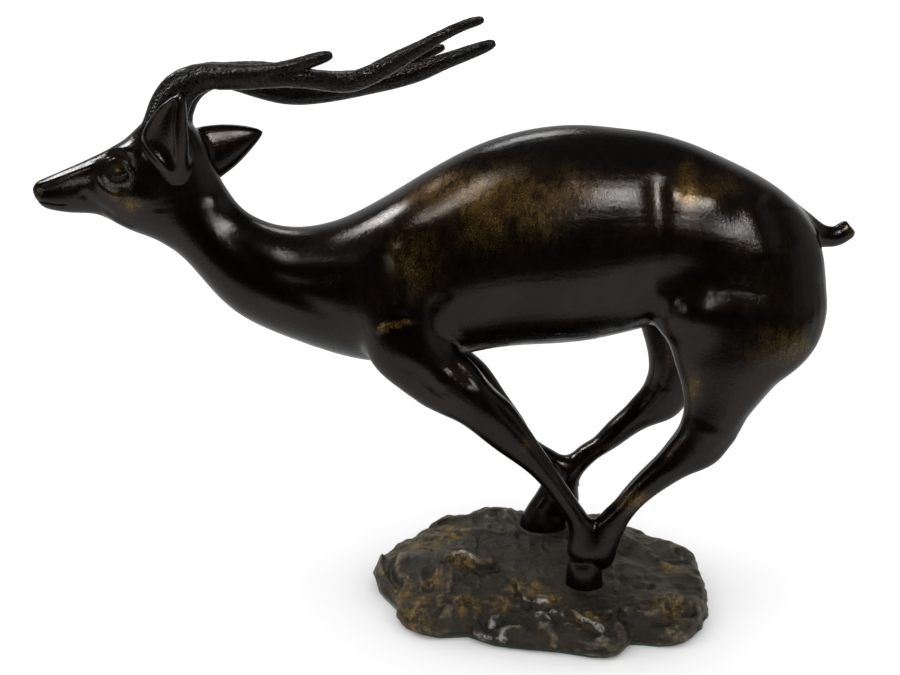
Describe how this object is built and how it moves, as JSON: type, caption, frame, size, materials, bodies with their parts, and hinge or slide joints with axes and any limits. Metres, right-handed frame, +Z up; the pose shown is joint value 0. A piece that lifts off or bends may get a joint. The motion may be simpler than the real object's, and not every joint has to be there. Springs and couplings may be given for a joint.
{
  "type": "bronze animal statuette",
  "caption": "Patinated bronze statuette of a running antelope with swept-back branched antlers, its legs gathered under it on a rocky oval base.",
  "frame": {"origin": "middle of the felt's underside, on the animal's middle plane", "axes": "+Z up, -X towards the nose, +X towards the tail, -Y towards the animal's left"},
  "size_m": [0.3971, 0.1426, 0.2885],
  "materials": {
    "patinated_bronze": "dark brown-black lacquered patina with golden rub-through",
    "base_bronze": "matt grey-brown patina with rubbed ridges",
    "dowel_bronze": "plain turned bronze",
    "fastener_steel": "plain zinc-plated",
    "base_felt": "dark green felt"
  },
  "bodies": {
    "root": {"antler_dowel_left": "dowel_bronze", "antler_dowel_right": "dowel_bronze", "antler_left": "patinated_bronze", "antler_right": "patinated_bronze", "base_nut_left": "fastener_steel", "base_nut_right": "fastener_steel", "base_shell": "base_bronze", "base_stud_left": "fastener_steel", "base_stud_right": "fastener_steel", "base_washer_left": "fastener_steel", "base_washer_right": "fastener_steel", "ear_left": "patinated_bronze", "ear_right": "patinated_bronze", "felt_sheet": "base_felt", "foot_dowel_left": "dowel_bronze", "foot_dowel_right": "dowel_bronze", "foreleg_left": "patinated_bronze", "foreleg_right": "patinated_bronze", "head_casting": "patinated_bronze", "head_pin_left": "dowel_bronze", "head_pin_right": "dowel_bronze", "hindleg_left": "patinated_bronze", "hindleg_right": "patinated_bronze", "neck_pin_left": "dowel_bronze", "neck_pin_right": "dowel_bronze", "neck_shell": "patinated_bronze", "shoulder_dowel_left": "dowel_bronze", "shoulder_dowel_right": "dowel_bronze", "tail_casting": "patinated_bronze", "tail_dowel": "dowel_bronze", "thigh_dowel_left": "dowel_bronze", "thigh_dowel_right": "dowel_bronze", "torso_shell": "patinated_bronze"}
  },
  "joints": []
}
